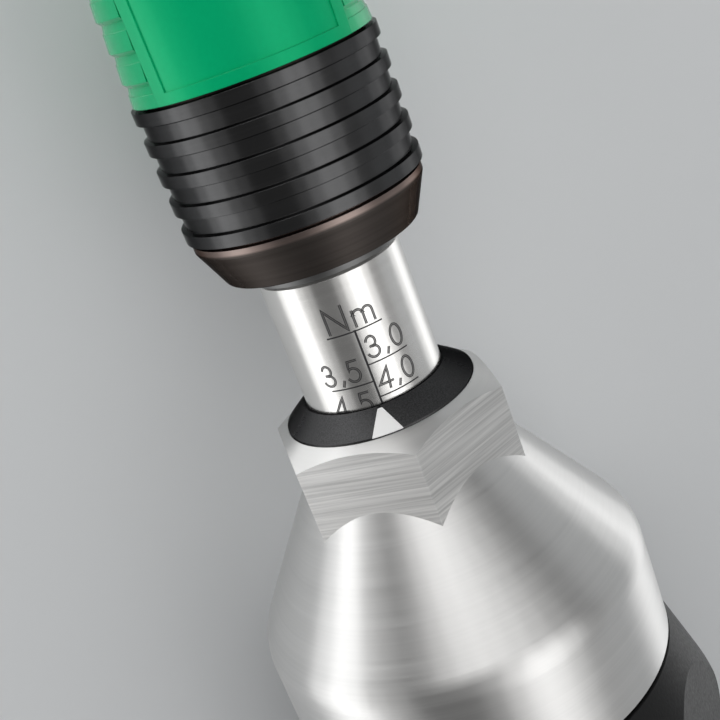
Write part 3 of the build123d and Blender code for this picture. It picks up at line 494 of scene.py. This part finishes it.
def glyph(letter):
    """The strokes of a number or comma, in a box one wide and one tall."""
    if letter == "0":
        return [arc((0.5, 0.5), (0.46, 0.5), 90, 450, 28)]
    if letter == "3":
        upper = arc((0.46, 0.745), (0.36, 0.255), 160, -90, 14)
        lower = arc((0.46, 0.27), (0.46, 0.27), 90, -160, 16)
        return [upper[:-1] + [(0.46, 0.515)], [(0.34, 0.525), (0.46, 0.53)] + lower[1:]]
    if letter == "4":
        return [[(0.71, 0.0), (0.91, 1.0), (0.0, 0.27), (1.04, 0.27)]]
    if letter == "5":
        bowl = arc((0.44, 0.33), (0.50, 0.33), 118, -150, 16)
        return [[(0.9, 1.0), (0.28, 1.0), (0.18, 0.56)] + bowl]
    if letter == "6":
        return [arc((0.5, 0.31), (0.46, 0.31), 120, 480, 26), [(0.20, 0.53), (0.72, 1.0)]]
    if letter == ",":
        return [[(0.223, 0.122), (0.068, -0.090)]]
    raise ValueError(letter)


def unit_strokes():
    """The unit's two letters over their line: strokes in millimetres."""
    base = UNIT_LINE + UNIT_RISE
    top = base + CAPITAL_TALL
    left, right = CAPITAL_SIDES
    strokes = [[(left, base), (left, top), (right, base), (right, top)]]
    strokes.append([(STEMS[0], base), (STEMS[0], base + LOW_TALL)])
    for left, right in zip(STEMS, STEMS[1:]):
        half = (right - left) / 2
        shoulder = base + LOW_TALL - half
        crown = arc((left + half, shoulder), half, 180, 0, 10)
        strokes.append([(left, shoulder)] + crown + [(right, base)])
    return strokes


def number_strokes(value, left, base):
    """A number with a decimal comma, its first digit's left side at left: strokes in millimetres."""
    strokes = []
    for letter in f"{value:.1f}".replace(".", ","):
        for line in glyph(letter):
            strokes.append([(left + u * DIGIT_WIDE, base + v * DIGIT_TALL) for u, v in line])
        left += COMMA_ADVANCE if letter == "," else DIGIT_ADVANCE
    return strokes


CORE_FACE = 4                 # place of the paler floor among a two-tone stroke's faces


def ribbon(build, line, width, core=0.0):
    """A thin closed band that follows a stroke round the sleeve, with square ends. Core is the share of
    its width that has the second material."""
    points = [Vector(p) for p in line]
    closed = (points[0] - points[-1]).length < 1e-6
    if closed:
        points.pop()
    count = len(points)
    rings = []
    for n, point in enumerate(points):
        before = points[n - 1] if n or closed else None
        after = points[(n + 1) % count] if n < count - 1 or closed else None
        sides = ((before, point), (point, after))
        ways = [(b - a).normalized() for a, b in sides if a is not None and b is not None]
        along = sum(ways, Vector((0, 0))).normalized()
        side = Vector((-along.y, along.x))
        spread = width / 2 / max(MITRE_LIMIT, side.dot(Vector((-ways[0].y, ways[0].x))))
        if not closed and n in (0, count - 1):
            point = point + along * (width / 2 if n else -width / 2)
        ring = []
        profile = [(spread, LIFT), (spread, -SINK), (-spread, -SINK), (-spread, LIFT)]
        if core:
            profile += [(-spread * core, CORE_LIFT), (spread * core, CORE_LIFT)]
        for reach, radius in profile:
            across, x = point + side * reach
            turn = math.degrees(across / SLEEVE_R)
            ring.append(build.verts.new(on_tool(x, SLEEVE_R + radius, turn)))
        rings.append(ring)
    pairs = list(zip(rings, rings[1:] + rings[:1])) if closed else list(zip(rings, rings[1:]))
    for near, far in pairs:
        for n in range(len(near)):
            m = (n + 1) % len(near)
            face = build.faces.new((near[n], near[m], far[m], far[n]))
            face.material_index = int(n == CORE_FACE)
    if not closed:
        build.faces.new(rings[0][::-1])
        build.faces.new(rings[-1])


def finish_mesh(build, name, materials):
    """A new object of the mesh, which rides on nothing yet."""
    bmesh.ops.recalc_face_normals(build, faces=build.faces)
    mesh = bpy.data.meshes.new(name)
    build.to_mesh(mesh)
    build.free()
    for material in materials:
        mesh.materials.append(material)
    return new_object(name, mesh)


def in_short_steps(line, longest=0.5):
    """The same stroke with no step longer than longest, so that it bends with the sleeve."""
    points = [line[0]]
    for start, end in zip(line, line[1:]):
        steps = max(1, math.ceil(math.dist(start, end) / longest))
        for n in range(1, steps + 1):
            points.append(tuple(a + (b - a) * n / steps for a, b in zip(start, end)))
    return points


def add_scale():
    """The engraved unit, numbers and lines, from FIRST_VALUE to LAST_VALUE."""
    paint = Shader("engraving", Roughness=0.45)
    paint.set("Base Color", (0.018, 0.018, 0.019))
    floor = Shader("engraving_floor", Roughness=0.42, Metallic=1.0)
    floor.set("Base Color", (0.28, 0.275, 0.27))
    build = bmesh.new()
    marks = [([(x, UNIT_LINE) for x in UNIT_LINE_ENDS], RULE)]
    marks += [(stroke, STROKE) for stroke in unit_strokes()]
    steps = round((LAST_VALUE - FIRST_VALUE) / VALUE_STEP)
    for n in range(steps + 1):
        value = FIRST_VALUE + VALUE_STEP * n
        level = FIRST_LINE - SPACING * n
        left = n % 2 == 1
        ends = (LEFT_END, MIDLINE - MIDLINE_GAP) if left else (MIDLINE, RIGHT_END)
        marks.append(([(ends[0], level), (ends[1], level)], RULE))
        start = LEFT_START if left else RIGHT_START
        marks += [(stroke, STROKE) for stroke in number_strokes(value, start, level + RISE)]
    last = FIRST_LINE - SPACING * steps
    marks.append(([(MIDLINE, UNIT_LINE), (MIDLINE, last)], MIDRULE))
    for line, width in marks:
        ribbon(build, in_short_steps(line), width, STROKE_CORE if width == STROKE else 0.0)
    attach(finish_mesh(build, "scale_marks", (paint.material, floor.material)), "carriage")


# Pointer mark: white paint in the triangle let into the pointer ring's sloping face
MARK_PHASE = -3.75            # the triangle's angle about the axis
MARK_HALF_WIDTH = 1.42        # at its base
MARK_TIP = 6.35               # radius at its tip
FACE_INNER = 6.52             # where the sloping face starts
FACE_OUTER = 8.63             # where it ends, at the triangle's base
FACE_DEPTH = 1.65             # how far the face slopes back
MARK_DEPTH = 0.10             # of the recess
PAINT_TOP = 0.02              # below the sloping face
PAINT_GAP = 0.01              # from the recess's walls, and past its floor
PAINT_ENDS = 0.06             # from the triangle's tip and base
MARK_ROWS, MARK_COLUMNS = 8, 6


def add_pointer_mark():
    """A thin white block that fills the recess."""
    paint = Shader("mark_white", Roughness=0.5)
    paint.set("Base Color", (0.95, 0.95, 0.94))
    build = bmesh.new()
    across = MARK_COLUMNS
    layers = []
    for sink in (PAINT_TOP, MARK_DEPTH + PAINT_GAP):
        layer = []
        for row in range(1, MARK_ROWS + 1):
            tall = FACE_OUTER - PAINT_ENDS - MARK_TIP
            height = MARK_TIP + PAINT_ENDS + tall * row / MARK_ROWS
            half = MARK_HALF_WIDTH * (height - MARK_TIP) / (FACE_OUTER - MARK_TIP) - PAINT_GAP
            line = []
            for n in range(across + 1):
                side = half * (2 * n / across - 1)
                radius = min(math.hypot(side, height), FACE_OUTER - PAINT_GAP)
                back = max(0, FACE_DEPTH * (radius - FACE_INNER) / (FACE_OUTER - FACE_INNER))
                turn = MARK_PHASE + math.degrees(math.atan2(side, height))
                line.append(build.verts.new(on_tool(-back - sink, radius, turn)))
            layer.append(line)
        layers.append(layer)
    for layer in layers:
        for low, high in zip(layer, layer[1:]):
            for n in range(across):
                build.faces.new((low[n], low[n + 1], high[n + 1], high[n]))
    rims = [[layer[0][n] for n in range(across + 1)]
            + [line[across] for line in layer[1:]]
            + [layer[-1][n] for n in range(across - 1, -1, -1)]
            + [line[0] for line in layer[-2:0:-1]] for layer in layers]
    for n in range(len(rims[0])):
        m = (n + 1) % len(rims[0])
        build.faces.new((rims[0][n], rims[0][m], rims[1][m], rims[1][n]))
    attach(finish_mesh(build, "pointer_mark", (paint.material,)), "collar")


# Springs: round wire on the solids' own coils.
COILS = (
    # node, wire radius, turns, sides of the wire, body at the front end, body at the rear end
    ("main_spring", 1.75, 8, 16, "handle", "carriage"),
    ("release_spring", 0.35, 3.5, 10, "output", "release"),
)
COIL_STEPS = 36               # in a turn
SOLID_WIRE_SIDES = 6          # of the wire in the solids


def add_spring(node, wire, turns, sides, front_body, rear_body, material):
    """Round wire in the place of a node's solid, whose wire is a row of straight lengths."""
    low, high = node_span(node, 0)
    spare = wire * (1 - math.cos(math.pi / SOLID_WIRE_SIDES))
    rear, front = low - spare, high + spare
    radius = node_span(node, 1)[1] - wire
    steps = round(turns * COIL_STEPS)
    rise = (front - rear - 2 * wire) / steps
    section = [math.tau * n / sides for n in range(sides)]
    build = bmesh.new()
    rings = []
    for step in range(steps + 1):
        angle = math.tau * step / COIL_STEPS
        out = Vector((0, math.cos(angle), math.sin(angle)))
        along = Vector((rise * COIL_STEPS / math.tau, -radius * out.z, radius * out.y)).normalized()
        side = along.cross(out)
        middle = Vector((rear + wire + rise * step, 0, AXIS_Z)) + out * radius
        points = [middle + (out * math.cos(t) + side * math.sin(t)) * wire for t in section]
        rings.append([build.verts.new(point * MM) for point in points])
    for near, far in zip(rings, rings[1:]):
        for n in range(sides):
            m = (n + 1) % sides
            build.faces.new((near[n], near[m], far[m], far[n])).smooth = True
    build.faces.new(rings[0][::-1])
    build.faces.new(rings[-1])
    piece = finish_mesh(build, node + "_wire", (material,))
    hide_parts(node)
    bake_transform(piece)


bpy.context.scene.view_settings.view_transform = "Standard"
add_camera()
add_studio()
finishes = node_materials()
dress_nodes(finishes)
add_scale()
add_pointer_mark()
for coil in COILS:
    add_spring(*coil, finishes[coil[0]])
